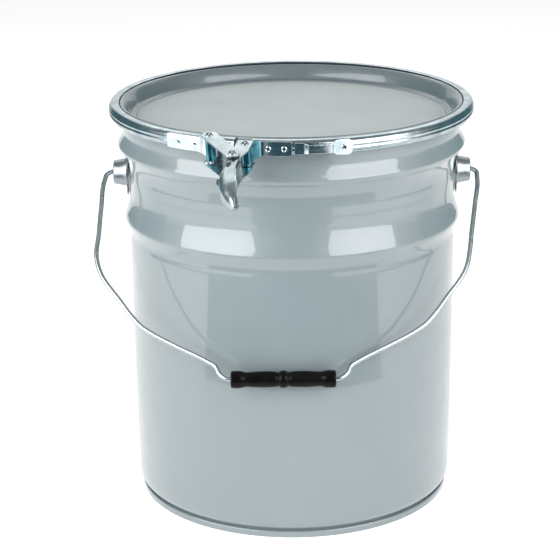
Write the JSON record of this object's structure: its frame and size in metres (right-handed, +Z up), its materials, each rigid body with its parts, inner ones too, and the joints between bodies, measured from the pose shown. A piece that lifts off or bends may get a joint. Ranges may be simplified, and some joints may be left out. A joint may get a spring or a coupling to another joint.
{
  "type": "open-head steel pail",
  "caption": "Conical open-head steel pail with a recessed lid, a lever-latch closing ring, and a wire bail with a turned grip.",
  "frame": {"origin": "on the can's axis, in the plane of the chime's resting edge; the bottom panel's underside stands 3 mm above it", "axes": "+Z up along the can's axis; -Y towards the latch and the bail at rest; the bail's hinge line runs along X"},
  "size_m": [0.3684, 0.4447, 0.3927],
  "materials": {
    "grey_paint": "glossy stoved enamel",
    "zinc": "bright zinc plate",
    "wire": "drawn galvanised wire",
    "black_plastic": "glossy moulded",
    "gasket_rubber": "foamed"
  },
  "bodies": {
    "can": {"can_body": "grey_paint", "bottom_end": "grey_paint", "left_bail_ear": "zinc", "right_bail_ear": "zinc"},
    "bail": {"bail_wire": "wire"},
    "grip": {"bail_grip": "black_plastic"},
    "lid": {"lid": "grey_paint", "lid_gasket": "gasket_rubber"},
    "ring": {"closing_ring": "zinc", "right_bracket": "zinc", "lock_staple": "zinc", "bracket_rivet_1": "zinc", "bracket_rivet_2": "zinc", "staple_rivet": "zinc"},
    "ring_left_end": {"left_bracket": "zinc"},
    "link": {"latch_link": "zinc", "link_pin": "zinc", "toggle_pin_upper_head": "zinc", "toggle_pin_lower_head": "zinc"},
    "lever": {"latch_lever": "zinc", "lever_pin": "zinc", "toggle_pin": "zinc"}
  },
  "joints": [
    {"name": "bail_swing", "type": "hinge", "parent": "can", "child": "bail", "pos_m": [0, 0, 0.315], "axis": [-1, 0, 0], "range_deg": [0, 46]},
    {"name": "grip_spin", "type": "hinge", "parent": "bail", "child": "grip", "pos_m": [-0.009, -0.16515, 0.16367], "axis": [1, 0, 0], "continuous": true},
    {"name": "lid_lift", "type": "slide", "parent": "can", "child": "lid", "axis": [0, 0, 1], "range_m": [0, 0.15]},
    {"name": "ring_lift", "type": "slide", "parent": "lid", "child": "ring", "axis": [0, 0, 1], "range_m": [0, 0.12]},
    {"name": "lever_swing", "type": "hinge", "parent": "ring", "child": "lever", "pos_m": [-0.03939, -0.18108, 0.37567], "axis": [-0.0544, -0.2268, 0.9724], "range_deg": [0, 101]},
    {"name": "ring_end_travel", "type": "hinge", "parent": "ring", "child": "ring_left_end", "pos_m": [0, 0, 0.3802], "axis": [0, -0.0087, 1], "range_deg": [0, 5]},
    {"name": "link_swing", "type": "hinge", "parent": "ring_left_end", "child": "link", "pos_m": [-0.07017, -0.16568, 0.37753], "axis": [-0.0544, -0.2268, 0.9724], "range_deg": [0, 33.4]}
  ],
  "couplings": [
    {"joint": "ring_end_travel", "follows": "lever_swing", "ratio": 0.0495},
    {"joint": "link_swing", "follows": "lever_swing", "ratio": 0.33}
  ]
}
